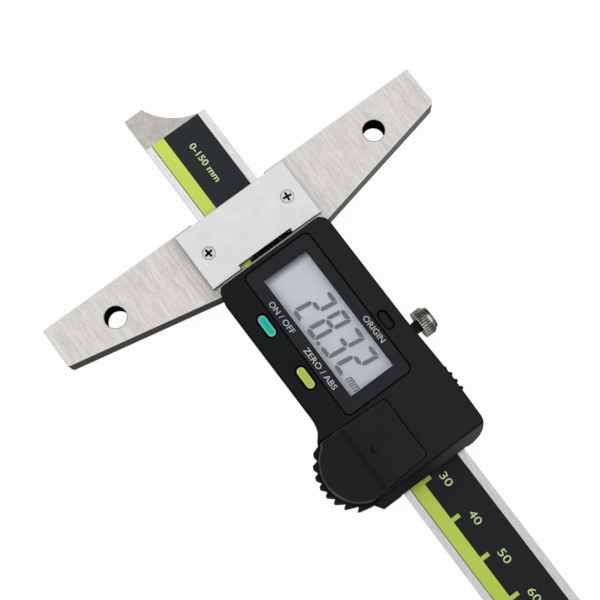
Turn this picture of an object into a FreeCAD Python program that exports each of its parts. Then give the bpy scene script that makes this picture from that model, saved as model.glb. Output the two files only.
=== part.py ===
import FreeCAD, Part
import math
import os

# Digital depth gauge, lying on its back.
# Z is the display normal, Y runs out of the measuring face towards the beam tip,
# X runs along the base. The origin is on the measuring face, on the centre line
# of the beam, level with the back of the base. All lengths in millimetres.

os.makedirs("parts", exist_ok=True)
V = FreeCAD.Vector

# Driving dimensions
base_half = 50.0
base_thick = 6.5
base_end_depth = 9.8
base_root_depth = 17.3
base_corner = 0.9
mount_x = 35.34
mount_y = -7.03
mount_d = 5.0
stem_half = 12.9
stem_end = -73.6
stem_top = 6.9
beam_half = 8.0
beam_z0 = 2.95
beam_z1 = 6.45
beam_tip = 28.32
beam_tail = -204.7
strip_end = 19.85
strip_x0 = -6.37
strip_x1 = 6.12
strip_tail = -197.0
channel_x0 = -8.04
channel_x1 = 9.15
screw_z = 4.7
clamp_y = -48.0
wall = 1.2
shell_z0 = 0.8
shell_top = 12.8
shell_front = -16.45
roof_z = 11.4
plate_box = (-8.15, 8.7, -55.45, -18.1)
window_box = (-5.1, 6.1, -52.4, -21.15)
button_left_x = -10.4
button_right_x = 10.7
button_y = (-29.6, -43.5)
origin_button_y = -43.7
button_size = (5.3, 2.1)
origin_size = (4.4, 1.9)
lid_x = -11.8
lid_y = -64.4
lid_r = 8.65
cell_x = -13.9
cell_r = 5.8
cell_z0 = 6.15
cell_z1 = 11.55
knob_r = 3.2
boss_points = ((-11.3, -21.5), (11.3, -21.5), (-11.3, -53.3), (11.3, -70.8))
gib_screw_y = (-29.0, -55.0)


def box(x0, x1, y0, y1, z0, z1):
    return Part.makeBox(x1 - x0, y1 - y0, z1 - z0, V(x0, y0, z0))


def post(x, y, z0, z1, r):
    return Part.makeCylinder(r, z1 - z0, V(x, y, z0))


def rod(x0, x1, y, z, r):
    return Part.makeCylinder(r, x1 - x0, V(x0, y, z), V(1, 0, 0))


def prism(path, z0, z1):
    """Closed outline in the XY plane, extruded. A point of four numbers is an
    arc: the middle it passes through and its end."""
    edges = []
    last = V(path[0][0], path[0][1], z0)
    first = last
    for step in path[1:]:
        if len(step) == 4:
            mid = V(step[0], step[1], z0)
            end = V(step[2], step[3], z0)
            edges.append(Part.Arc(last, mid, end).toShape())
        else:
            end = V(step[0], step[1], z0)
            edges.append(Part.makeLine(last, end))
        last = end
    if last.distanceToPoint(first) > 1e-6:
        edges.append(Part.makeLine(last, first))
    face = Part.Face(Part.Wire(edges))
    return face.extrude(V(0, 0, z1 - z0))


def round_box(x0, x1, y0, y1, z0, z1, r):
    k = r * (1 - math.sqrt(0.5))
    path = [(x0 + r, y0), (x1 - r, y0), (x1 - k, y0 + k, x1, y0 + r), (x1, y1 - r),
            (x1 - k, y1 - k, x1 - r, y1), (x0 + r, y1), (x0 + k, y1 - k, x0, y1 - r),
            (x0, y0 + r), (x0 + k, y0 + k, x0 + r, y0)]
    return prism(path, z0, z1)


def stadium(x, y, length, width, z0, z1):
    r = width / 2
    h = length / 2 - r
    path = [(x + r, y - h), (x + r, y + h), (x, y + h + r, x - r, y + h),
            (x - r, y - h), (x, y - h - r, x + r, y - h)]
    return prism(path, z0, z1)


def turned(profile, origin, axis):
    """Solid of revolution: profile points are (distance along axis, radius)."""
    points = [V(r, 0, a) for a, r in profile]
    points.append(points[0])
    solid = Part.Face(Part.makePolygon(points)).revolve(V(0, 0, 0), V(0, 0, 1), 360)
    turn = FreeCAD.Rotation(V(0, 0, 1), V(*axis))
    solid.Placement = FreeCAD.Placement(V(*origin), turn)
    return solid


def shank(x, y, z0, z1, r):
    """Plain ten-sided shank of a small screw: the thread isn't modelled."""
    turns = [math.pi * i / 5 for i in range(10)]
    return prism([(x + r * math.cos(t), y + r * math.sin(t)) for t in turns], z0, z1)


def edges_at(shape, z):
    return [e for e in shape.Edges if all(abs(v.Z - z) < 1e-4 for v in e.Vertexes)]


def cross_screw(x, y, top, head_r, head_h, shank_r, length, turn):
    """Flat-headed screw seen from +Z, with a cross recess."""
    solid = post(x, y, top - head_h, top, head_r)
    solid = solid.fuse(shank(x, y, top - length, top - head_h, shank_r))
    arm = head_r * 0.62
    for angle in (turn, turn + 90):
        slot = Part.makeBox(2 * arm, head_r * 0.3, 1.0, V(-arm, -head_r * 0.15, -0.45))
        slot.rotate(V(0, 0, 0), V(0, 0, 1), angle)
        slot.translate(V(x, y, top))
        solid = solid.cut(slot)
    return solid


def save(shape, name):
    shape.removeSplitter().exportStep("parts/" + name + ".step")


# Slider base
slope = (base_root_depth - base_end_depth) / (base_half - 14.5)
root = base_root_depth + slope * (14.5 - stem_half)
bar = prism([(-base_half, 0), (base_half, 0), (base_half, -base_end_depth), (stem_half, -root),
             (-stem_half, -root), (-base_half, -base_end_depth)], 0, base_thick)
corners = [g for g in bar.Edges if all(abs(v.Y + base_end_depth) < 1e-4 for v in g.Vertexes)]
bar = bar.makeFillet(base_corner, corners)
rims = [g for g in edges_at(bar, 0) if max(abs(v.Y) for v in g.Vertexes) > 1e-4]
bar = bar.makeChamfer(0.22, rims + edges_at(bar, base_thick))
stem_path = [(-stem_half, -root + 1.0), (-stem_half, stem_end + 1.2), (-stem_half + 1.2, stem_end),
             (stem_half - 1.2, stem_end), (stem_half, stem_end + 1.2), (stem_half, -root + 1.0)]
slider = bar.fuse(prism(stem_path, 0, stem_top))
slider = slider.cut(box(-base_half, base_half, -18.3, 1, base_thick, stem_top + 1))
slider = slider.cut(box(channel_x0, channel_x1, stem_end - 1, 1, beam_z0 - 0.05, stem_top + 1))
slider = slider.cut(box(-10.1, 10.1, -2.2, 1, 2.4, stem_top + 1))
for side in (-1, 1):
    slider = slider.cut(post(side * mount_x, mount_y, -1, base_thick + 1, mount_d / 2))
    slider = slider.cut(Part.makeCone(mount_d / 2, mount_d / 2 + 0.25, 0.25,
                                      V(side * mount_x, mount_y, base_thick - 0.25)))
    slider = slider.cut(post(side * 10.7, -7.97, 2.2, base_thick + 1, 1.0))
slider = slider.cut(post(cell_x, lid_y, 5.3, stem_top + 1, 6.7))
for x, y in boss_points:
    slider = slider.cut(shank(x, y, -1, stem_top + 1, 0.9))
    slider = slider.cut(post(x, y, -1, 0.8, 1.55))
for y in gib_screw_y:
    slider = slider.cut(rod(channel_x1 - 1, stem_half + 1, y, screw_z, 1.0))
slider = slider.cut(rod(channel_x1 - 1, stem_half + 1, clamp_y, screw_z, 1.3))
save(slider, "slider_base")

# Cover plate
cover = box(-14.6, 14.6, -15.2, -0.7, base_thick, 7.5)
cover = cover.cut(box(-7.0, 7.0, -16, -14.2, 6, 8))
cover = cover.cut(box(-6.75, 6.5, -16, 0, 6, 6.8))
cover = cover.makeChamfer(0.12, edges_at(cover, 7.5))
for side in (-1, 1):
    cover = cover.cut(shank(side * 10.7, -7.97, 6, 8, 1.1))
    cover = cover.cut(post(side * 10.7, -7.97, 6.9, 8, 1.55))
save(cover, "cover_plate")

# Cover screws
screws = []
for side, turn in ((-1, 0), (1, 20)):
    screws.append(cross_screw(side * 10.7, -7.97, 7.62, 1.45, 0.7, 0.95, 4.8, turn))
Part.makeCompound(screws).exportStep("parts/cover_screws.step")

# Depth beam
beam_path = [(-beam_half, beam_tip), (-beam_half, beam_tail), (beam_half, beam_tail),
             (beam_half, strip_end - 0.1), (0.33, 23.16, -3.4, beam_tip)]
beam = prism(beam_path, beam_z0, beam_z1)
beam = beam.cut(box(-9, 9, strip_end, beam_tip + 1, beam_z1 - 0.35, 9))
beam = beam.cut(box(strip_x0 - 0.06, strip_x1 + 0.06, strip_tail - 0.1, strip_end, 5.7, 9))
for x in (-4.5, 4.5):
    beam = beam.cut(post(x, -200.4, beam_z0 - 1, beam_z1 + 1, 0.85))
long_edges = [g for g in beam.Edges if g.Length > 150 and abs(abs(g.Vertexes[0].X) - beam_half) < 0.01]
beam = beam.makeChamfer(0.15, long_edges)
save(beam, "depth_beam")

# Scale plate and its printed film
save(box(strip_x0, strip_x1, strip_tail, strip_end - 0.05, 5.7, 6.55), "scale_plate")
save(box(strip_x0, strip_x1, strip_tail, strip_end - 0.05, 6.55, 6.65), "scale_label")

# Beam stop and its screws
stop = box(-7.4, 7.4, -203.6, -197.4, beam_z1, 8.0)
stop = stop.makeChamfer(0.4, edges_at(stop, 8.0))
for x in (-4.5, 4.5):
    stop = stop.cut(post(x, -200.4, 6, 9, 1.0))
save(stop, "beam_stop")
stop_screws = [post(x, -200.4, 8.0, 9.0, 1.6) for x in (-4.5, 4.5)]
stop_screws = [g.fuse(shank(x, -200.4, 3.0, 8.0, 0.8)) for g, x in zip(stop_screws, (-4.5, 4.5))]
stop_screws = [g.cut(box(-9, 9, -200.6, -200.2, 8.55, 9.5)) for g in stop_screws]
Part.makeCompound(stop_screws).exportStep("parts/stop_screws.step")

# Gib strip and its set screws
save(box(beam_half + 0.03, beam_half + 1.03, -71.0, -4.0, beam_z0, 6.35), "gib_strip")
gib_screws = []
for y in gib_screw_y:
    screw = shank(0, 0, 0, 3.5, 0.96)
    screw.Placement = FreeCAD.Placement(V(9.03, y, screw_z), FreeCAD.Rotation(V(0, 0, 1), V(1, 0, 0)))
    gib_screws.append(screw.cut(box(11.8, 13, y - 0.15, y + 0.15, 3, 6.4)))
Part.makeCompound(gib_screws).exportStep("parts/gib_screws.step")

# Clamp pad
save(rod(9.25, 10.6, clamp_y, screw_z, 1.15), "clamp_pad")

# Clamp screw with a straight knurl
ridges = 32
star = []
for i in range(ridges):
    for r, half in ((knob_r + 0.02, 0.22), (knob_r - 0.17, 0.5)):
        turn = 2 * math.pi * (i + half) / ridges
        star.append((r * math.cos(turn), r * math.sin(turn)))
knurl = prism(star, 0, 2.75)
knurl.Placement = FreeCAD.Placement(V(16.7, clamp_y, screw_z), FreeCAD.Rotation(V(0, 0, 1), V(1, 0, 0)))
rim = turned([(0, 0), (0, 3.24), (2.2, 3.24), (2.75, 2.8), (2.75, 0)], (16.7, clamp_y, screw_z), (1, 0, 0))
knob = knurl.common(rim)
neck = rod(10.6, 15.5, clamp_y, screw_z, 1.24).fuse(rod(15.5, 16.8, clamp_y, screw_z, 1.4))
boss = turned([(19.3, 0), (19.3, 2.6), (20.05, 2.45), (20.05, 0)], (0, clamp_y, screw_z), (1, 0, 0))
save(neck.fuse(knob).fuse(boss), "clamp_screw")

# Front housing
shell_path = [(-11.95, shell_front), (11.25, shell_front), (13.3, -17.3, 14.15, -19.35), (14.15, -46.0),
              (14.45, -54.0, 14.65, -62.0), (14.4, -71.3), (13.5, -73.9, 11.2, -75.1), (-13.1, -75.1),
              (-14.3, -73.3), (-17.0, -72.4), (-17.0, -56.6), (-16.49, -55.7),
              (-14.79, -53.25, -14.1, -50.0), (-14.35, -18.85), (-13.65, -17.15, -11.95, shell_front)]
shell = prism(shell_path, shell_z0, shell_top)
rims = [g for g in edges_at(shell, shell_top) if g.CenterOfMass.y > -75.0]
shell = shell.makeChamfer(0.45, rims)
hull = shell.copy()
tail_cut = Part.Face(Part.makePolygon([V(-20, -73.3, shell_top), V(-20, -75.12, 9.3), V(-20, -76, 9.3),
                                       V(-20, -76, 14), V(-20, -73.3, 14), V(-20, -73.3, shell_top)]))
shell = shell.cut(tail_cut.extrude(V(40, 0, 0)))
shell = shell.cut(box(-13.1, 13.0, -73.9, -17.7, -1, roof_z))
shell = shell.cut(box(-20, 20, -17.95, -10, -1, base_thick + 0.1))
shell = shell.cut(box(-8.5, 8.5, -17.95, -10, -1, stem_top + 0.05))
shell = shell.cut(box(-8.5, 9.6, -76, -73, -1, beam_z1 + 0.5))
notch = prism([(-13.4, -56.1), (-13.4, -73.25), (-25, -73.25), (-25, -55.75)], -1, 14)
shell = shell.cut(notch)
shell = shell.cut(box(-13.6, -13.0, -73.3, -56.0, -1, roof_z + 0.1))
shell = shell.cut(post(cell_x, lid_y, 5, 14, 6.75))
x0, x1, y0, y1 = plate_box
g = 0.3
shell = shell.cut(round_box(x0 - g, x1 + g, y0 - g, y1 + g, 11.8, 14, 1.5))
shell = shell.cut(box(x0 + 1.3, x1 - 1.3, y0 + 1.3, y1 - 1.3, 11, 14))
length, width = button_size
for y in button_y:
    shell = shell.cut(stadium(button_left_x, y, length + 0.9, width + 0.9, 11.9, 14))
    shell = shell.cut(stadium(button_left_x, y, length + 0.3, width + 0.3, 11, 14))
length, width = origin_size
shell = shell.cut(stadium(button_right_x, origin_button_y, length + 0.5, width + 0.5, 11, 14))
for x, y in boss_points:
    shell = shell.fuse(box(x - 1.3, x + 1.3, y - 1.3, y + 1.3, stem_top, roof_z))
for x, y in boss_points:
    shell = shell.cut(shank(x, y, 6, 10.2, 0.84))
for y in gib_screw_y:
    shell = shell.cut(rod(12.5, 16, y, screw_z, 1.3))
shell = shell.cut(rod(12.5, 16, clamp_y, screw_z, 1.8))
shell = shell.cut(box(12.9, 17, -70.2, -57.8, 4.6, 11.9))

# Lid outline, used for the lid and for the recess it slides in
lid_path = [(-0.65, -56.9), (-15.5, -56.25), (-16.15, -56.4, -16.55, -57.17),
            (lid_x - lid_r, lid_y, -14.0, -72.76), (-0.65, -71.75), (0.06, -71.45, 0.35, -70.75),
            (0.35, -57.9), (0.06, -57.2, -0.65, -56.9)]
g = 0.13
recess_path = [(-0.65, -56.9 + g), (-22, -55.96 + g), (-22, -73.22 - g), (-0.65, -71.75 - g),
               (0.06 + g, -71.45 - g, 0.35 + g, -70.75), (0.35 + g, -57.9),
               (0.06 + g, -57.2 + g, -0.65, -56.9 + g)]
shell = shell.cut(prism(recess_path, 11.7, 14))
save(shell, "front_housing")

# Battery lid
lid = prism(lid_path, 11.75, shell_top)
skirt = prism(lid_path, 8.75, 11.8).cut(post(lid_x, lid_y, 8, 12, lid_r - 0.6))
lid = lid.fuse(skirt.cut(box(-13.6, 5, -80, -50, 8, 12)))
slant = Part.Face(Part.makePolygon([V(-11, -80, shell_top), V(-22, -80, 12.16), V(-22, -80, 14),
                                    V(-11, -80, 14), V(-11, -80, shell_top)]))
lid = lid.cut(slant.extrude(V(0, 40, 0)))
arrow = prism([(-9.2, lid_y), (-7.9, lid_y - 1.1), (-7.9, lid_y + 1.1)], shell_top - 0.1, shell_top + 0.08)
save(lid.fuse(arrow), "battery_lid")

# Battery holder with the serrated thumb rest
tip_r = lid_r + 1.3
root_r = lid_r + 0.2


def on_circle(y, r):
    return (lid_x - math.sqrt(r * r - (y - lid_y) ** 2), y)


rest_path = [(-13.05, -56.3), (-16.3, -56.12)]
tip_y = [-56.95 - 2.2 * i for i in range(8)]
lean = (1.7, 1.65, 1.55, 1.5, 1.45, 1.4, 1.25)
for i, y in enumerate(tip_y):
    reach = tip_r + 0.012 * (y - lid_y) ** 2 / 6
    rest_path.append(on_circle(y + 0.16, reach - 0.03))
    rest_path.append(on_circle(y - 0.16, reach - 0.03))
    if i < 7:
        rest_path.append(on_circle(y - lean[i], root_r))
rest_path += [(-15.0, -73.15), (-13.5, -73.15), (-13.05, -72.8)]
rest = prism(rest_path, 0.9, 8.6)
crown = turned([(0, 0), (0, 12), (6.8, 12), (7.7, 9.4), (7.7, 0)], (lid_x, lid_y, 0.9), (0, 0, 1))
rest = rest.common(crown)
hollow = post(lid_x, lid_y, 0, 4.8, lid_r - 1.0).cut(box(-14.3, 0, -80, -50, 0, 5))
rest = rest.cut(hollow.cut(box(-25, 0, -65, -63.8, 0, 5)))
tray = post(cell_x, lid_y, 5.4, 11.0, 6.5)
tray = tray.common(post(lid_x, lid_y, 5, 12, lid_r - 0.75).fuse(box(-30, -13.05, -80, -50, 5, 8.6)))
tray = tray.cut(box(-8.15, 0, -80, -50, 5, 6.8))
holder = rest.fuse(tray)
holder = holder.cut(post(cell_x, lid_y, 6.0, 12, cell_r + 0.15))
holder = holder.cut(box(-15.6, -12.2, lid_y + cell_r, lid_y + cell_r + 0.4, 6.0, 12))
save(holder, "battery_holder")

# Battery and its contacts
cell = post(cell_x, lid_y, cell_z0, cell_z0 + 0.5, 5.2)
cell = cell.fuse(post(cell_x, lid_y, cell_z0 + 0.5, cell_z1, cell_r))
save(cell, "battery_cell")
save(box(-18.5, -12.3, lid_y - 1.1, lid_y + 1.1, 6.0, cell_z0), "battery_contact_minus")
save(box(-15.4, -12.4, lid_y + cell_r + 0.03, lid_y + cell_r + 0.2, 6.3, 10.9), "battery_contact_plus")

# Display plate, window and panel
x0, x1, y0, y1 = plate_box
plate = round_box(x0, x1, y0, y1, 11.8, 12.75, 1.2)
plate = plate.makeChamfer(0.12, edges_at(plate, 12.75))
wx0, wx1, wy0, wy1 = window_box
plate = plate.cut(box(wx0, wx1, wy0, wy1, 11, 13))
save(plate, "display_plate")
pane = box(wx0 - 1.5, wx1 + 1.1, wy0 - 1.4, wy1 + 1.4, 11.0, 11.8)
pane = pane.fuse(box(wx0 + 0.05, wx1 - 0.05, wy0 + 0.05, wy1 - 0.05, 11.8, 12.2))
save(pane, "lcd_window")
save(box(-7.2, 7.8, -54.6, -19.0, 9.6, 10.9), "lcd_panel")
frame = box(-8.7, 9.0, -55.9, -17.9, 8.7, 10.9)
frame = frame.cut(box(-7.25, 7.85, -54.65, -18.95, 9.6, 12))
frame = frame.cut(box(-6.3, 6.9, -53.6, -20.0, 8, 10))
save(frame, "lcd_holder")
save(box(5.0, 6.7, -52.0, -21.5, 8.7, 9.6), "zebra_strip")

# Boards
board = box(-12.6, 12.6, -73.3, -18.0, 7.9, 8.7)
board = board.cut(post(cell_x, lid_y, 7, 9, 6.8))
for x, y in boss_points:
    board = board.cut(box(x - 1.5, x + 1.5, y - 1.5, y + 1.5, 7, 9))
save(board, "circuit_board")
save(box(-9.6, 9.6, -56.4, -18.9, stem_top, 7.9), "sensor_board")
chip = box(-4.0, 2.0, -40.5, -34.5, 8.7, 9.4)
save(chip.makeChamfer(0.3, edges_at(chip, 9.4)), "processor_chip")

# Buttons
def button(x, y, size, top, name):
    cap = stadium(x, y, size[0], size[1], 10.6, top)
    cap = cap.makeChamfer(0.2, edges_at(cap, top))
    foot = box(x - size[1] / 2 - 0.4, x + size[1] / 2 + 0.4, y - size[0] / 2 - 0.4, y + size[0] / 2 + 0.4,
               10.2, 11.3)
    save(cap.fuse(foot), name)


button(button_left_x, button_y[0], button_size, 12.85, "on_off_button")
button(button_left_x, button_y[1], button_size, 12.85, "zero_button")
button(button_right_x, origin_button_y, origin_size, 12.25, "origin_button")

# Rubber pads under the buttons
pad = box(-12.4, -9.0, -47.6, -25.6, 8.7, 9.2)
for y in button_y:
    pad = pad.fuse(box(button_left_x - 0.7, button_left_x + 0.7, y - 1.2, y + 1.2, 9.2, 9.8))
save(pad, "button_pad_left")
pad = box(9.3, 12.4, -47.8, -39.6, 8.7, 9.2)
pad = pad.fuse(box(button_right_x - 0.7, button_right_x + 0.7, -44.9, -42.5, 9.2, 9.8))
save(pad, "button_pad_right")

# Data output: socket and its ridged cover
socket = box(9.6, 12.6, -69.0, -59.0, 8.7, 11.2)
socket = socket.cut(box(10.6, 13, -68.4, -59.6, 9.3, 10.6))
tongue = box(10.5, 12.3, -67.8, -60.2, 9.75, 10.15)
save(socket.fuse(tongue), "output_connector")
door = hull.common(box(13.15, 17, -70.08, -57.92, 4.72, 11.78))
door = door.cut(box(14.1, 17, -65.5, -58.8, 4, 12))
for y in (-59.4, -61.05, -62.85, -64.75):
    ridge = [(14.0, y - 0.75), (14.7, y - 0.12), (14.7, y + 0.12), (14.0, y + 0.75)]
    door = door.fuse(prism(ridge, 4.72, 11.78))
save(door, "output_cover")

# Housing screws, driven from the back
housing_screws = []
for x, y in boss_points:
    screw = post(x, y, 0.05, 0.8, 1.45).fuse(shank(x, y, 0.8, 9.9, 0.78))
    for turn in (0, 90):
        slot = Part.makeBox(1.7, 0.35, 0.6, V(-0.85, -0.175, -0.05))
        slot.rotate(V(0, 0, 0), V(0, 0, 1), turn)
        slot.translate(V(x, y, 0))
        screw = screw.cut(slot)
    housing_screws.append(screw)
Part.makeCompound(housing_screws).exportStep("parts/housing_screws.step")
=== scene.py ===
import math

import bmesh
import bpy
from mathutils import Matrix, Vector


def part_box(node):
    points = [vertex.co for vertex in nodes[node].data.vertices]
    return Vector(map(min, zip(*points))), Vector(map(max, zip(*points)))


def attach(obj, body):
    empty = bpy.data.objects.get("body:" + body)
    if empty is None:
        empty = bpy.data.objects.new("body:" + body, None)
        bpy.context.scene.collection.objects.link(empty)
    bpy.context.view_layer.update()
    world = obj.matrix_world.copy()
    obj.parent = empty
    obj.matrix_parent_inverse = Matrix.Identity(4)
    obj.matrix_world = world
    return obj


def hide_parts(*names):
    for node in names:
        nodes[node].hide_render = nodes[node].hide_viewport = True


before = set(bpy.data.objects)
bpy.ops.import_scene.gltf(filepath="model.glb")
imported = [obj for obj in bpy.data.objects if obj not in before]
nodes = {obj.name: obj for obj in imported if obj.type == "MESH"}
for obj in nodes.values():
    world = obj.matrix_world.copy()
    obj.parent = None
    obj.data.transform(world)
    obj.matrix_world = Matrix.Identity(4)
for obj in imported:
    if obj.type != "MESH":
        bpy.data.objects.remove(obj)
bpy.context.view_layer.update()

mm = 0.001


# Slider base: hardened stainless steel in one piece, the 100 mm bar and the channel behind it.
# The upper faces are brushed along the beam's direction. The side faces are ground and duller, and painted
# darker as shade, the left ones more than the right. A thin polished chamfer runs between them, painted
# paler as a highlight. The top beside the cover plate carries painted shade in grind-line streaks, and the
# holes' walls are painted nearly black as shade.
def add(tree, kind, wires=None, **settings):
    """Adds one node. wires gives its inputs, each a plain value or another node's socket."""
    made = tree.nodes.new(kind)
    for key, value in settings.items():
        setattr(made, key, value)
    for key, value in (wires or {}).items():
        if isinstance(value, bpy.types.NodeSocket):
            tree.links.new(value, made.inputs[key])
        else:
            made.inputs[key].default_value = value
    return made


def node_group(name, kind, takes, gives):
    """An empty group with its named inputs and outputs, and the two nodes inside that carry them."""
    tree = bpy.data.node_groups.new(name, kind)
    for label, socket, start in takes:
        made = tree.interface.new_socket(label, in_out="INPUT", socket_type="NodeSocket" + socket)
        if start is not None:
            made.default_value = start
    for label, socket in gives:
        tree.interface.new_socket(label, in_out="OUTPUT", socket_type="NodeSocket" + socket)
    return tree, tree.nodes.new("NodeGroupInput").outputs, tree.nodes.new("NodeGroupOutput").inputs


def math_node(tree, operation, first, second=0.0):
    return add(tree, "ShaderNodeMath", {0: first, 1: second}, operation=operation).outputs[0]


def times(tree, first, second):
    return math_node(tree, "MULTIPLY", first, second)


def paint(red, green, blue):
    """A screen colour from 0 to 255, as the linear colour that the shader takes."""
    return tuple(((c / 255 + 0.055) / 1.055) ** 2.4 if c > 10 else c / 255 / 12.92
                 for c in (red, green, blue)) + (1.0,)


def blend(tree, share, under, over):
    """Mixes two colours. Three plain numbers are a screen colour from 0 to 255."""
    under, over = (paint(*c) if isinstance(c, tuple) and len(c) == 3 else c for c in (under, over))
    return add(tree, "ShaderNodeMix", {0: share, 6: under, 7: over}, data_type="RGBA").outputs[2]


def ramp(tree, value, low, high, start=0.0, end=1.0):
    """Runs evenly from start, where the value is low, to end, where it is high."""
    made = add(tree, "ShaderNodeMapRange", {"Value": value, "From Min": low, "From Max": high,
                                            "To Min": start, "To Max": end})
    return made.outputs["Result"]


def brushed_group():
    tree, given, result = node_group(
        "Brush lines", "ShaderNodeTree",
        [("Across", "Float", 4000.0), ("Along", "Float", 120.0)],
        [("Lines", "Float"), ("Bands", "Float")])
    place = add(tree, "ShaderNodeTexCoord").outputs["Object"]
    fine = add(tree, "ShaderNodeCombineXYZ", {0: given["Across"], 1: given["Along"], 2: given["Across"]})
    spread = add(tree, "ShaderNodeVectorMath", {0: place, 1: fine.outputs[0]}, operation="MULTIPLY")
    lines = add(tree, "ShaderNodeTexNoise", {"Vector": spread.outputs[0], "Scale": 1.0, "Detail": 3.0,
                                             "Roughness": 0.65})
    broad = add(tree, "ShaderNodeVectorMath", {0: spread.outputs[0], 1: (0.13, 0.16, 0.13)},
                operation="MULTIPLY")
    bands = add(tree, "ShaderNodeTexNoise", {"Vector": broad.outputs[0], "Scale": 1.0, "Detail": 2.0})
    tree.links.new(lines.outputs["Fac"], result["Lines"])
    tree.links.new(bands.outputs["Fac"], result["Bands"])
    return tree


def soft_edge_group():
    tree, given, result = node_group(
        "Soft edges", "ShaderNodeTree",
        [("Radius", "Float", 0.0001), ("Gain", "Float", 4.0)],
        [("Edge", "Float"), ("Normal", "Vector")])
    rounded = add(tree, "ShaderNodeBevel", {"Radius": given["Radius"]}, samples=6)
    flat = add(tree, "ShaderNodeNewGeometry").outputs["Normal"]
    match = add(tree, "ShaderNodeVectorMath", {0: rounded.outputs[0], 1: flat}, operation="DOT_PRODUCT")
    bend = math_node(tree, "SUBTRACT", 1.0, match.outputs["Value"])
    patchy = add(tree, "ShaderNodeTexNoise",
                 {"Vector": add(tree, "ShaderNodeTexCoord").outputs["Object"], "Scale": 420.0,
                  "Detail": 3.0})
    # The edge mask, broken in patches, paints edges paler: partly wear, partly a painted highlight.
    edge_wear_and_highlight = times(tree, times(tree, bend, given["Gain"]),
                   ramp(tree, patchy.outputs["Fac"], 0.35, 0.65, 0.55, 1.0))
    edge = add(tree, "ShaderNodeClamp", {"Value": edge_wear_and_highlight})
    tree.links.new(edge.outputs[0], result["Edge"])
    tree.links.new(rounded.outputs[0], result["Normal"])
    return tree


def facing_group():
    tree, _, result = node_group("Face direction", "ShaderNodeTree", [],
                                 [("Level", "Float"), ("Sloped", "Float")])
    parts = add(tree, "ShaderNodeSeparateXYZ", {0: add(tree, "ShaderNodeTexCoord").outputs["Normal"]})
    tilt = math_node(tree, "ABSOLUTE", parts.outputs[2])
    level = ramp(tree, tilt, 0.93, 0.98)
    raised = ramp(tree, tilt, 0.2, 0.35)
    tree.links.new(level, result["Level"])
    tree.links.new(math_node(tree, "SUBTRACT", raised, level), result["Sloped"])
    return tree


brush_lines = brushed_group()
soft_edges = soft_edge_group()
face_direction = facing_group()


def new_material(name, **sockets):
    """A Principled material; the sockets that are the same all over are set here."""
    material = bpy.data.materials.new(name)
    material.use_nodes = True
    shader = material.node_tree.nodes["Principled BSDF"]
    for label, value in sockets.items():
        shader.inputs[label.replace("_", " ")].default_value = value
    return material, material.node_tree, shader.inputs


def use_group(tree, group, **values):
    made = add(tree, "ShaderNodeGroup", node_tree=group)
    for label, value in values.items():
        made.inputs[label].default_value = value
    return made.outputs


def surface(tree, shader, colour, rough, relief, strength, depth, under=None):
    """Wires a colour, a roughness and the fine relief that breaks up the gloss. Two plain numbers
    for the roughness are its values where the relief is low and high."""
    if isinstance(rough, tuple):
        rough = ramp(tree, relief, 0.3, 0.7, *rough)
    wires = {"Height": relief, "Strength": strength, "Distance": depth}
    if under is not None:
        wires["Normal"] = under
    tree.links.new(colour, shader["Base Color"])
    tree.links.new(rough, shader["Roughness"])
    tree.links.new(add(tree, "ShaderNodeBump", wires).outputs[0], shader["Normal"])


def dress(name, material):
    """Gives a CAD node its finish."""
    for slot in nodes[name].material_slots:
        slot.material = material


def grain_group():
    tree, given, result = node_group(
        "Fine grain", "ShaderNodeTree",
        [("Size", "Float", 9000.0)], [("Grain", "Float"), ("Cloud", "Float")])
    place = add(tree, "ShaderNodeTexCoord").outputs["Object"]
    speck = add(tree, "ShaderNodeTexNoise", {"Vector": place, "Scale": given["Size"], "Detail": 2.0,
                                             "Roughness": 0.7})
    cloud = add(tree, "ShaderNodeTexNoise",
                {"Vector": place, "Scale": times(tree, given["Size"], 0.018), "Detail": 3.0})
    tree.links.new(speck.outputs["Fac"], result["Grain"])
    tree.links.new(cloud.outputs["Fac"], result["Cloud"])
    return tree


fine_grain = grain_group()


def object_place(tree):
    """The point's place on the object: sockets 0, 1 and 2 are X, Y and Z in metres."""
    return add(tree, "ShaderNodeSeparateXYZ",
               {0: add(tree, "ShaderNodeTexCoord").outputs["Object"]}).outputs


def weighed(tree, *pairs):
    """Sum of values, each times its share."""
    total = None
    for value, share in pairs:
        part = times(tree, value, share)
        total = part if total is None else math_node(tree, "ADD", total, part)
    return total


def reach(tree, first, second):
    """How far a point is from an axis, from its two distances across it."""
    squares = [math_node(tree, "POWER", side, 2.0) for side in (first, second)]
    return math_node(tree, "SQRT", math_node(tree, "ADD", *squares))


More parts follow.
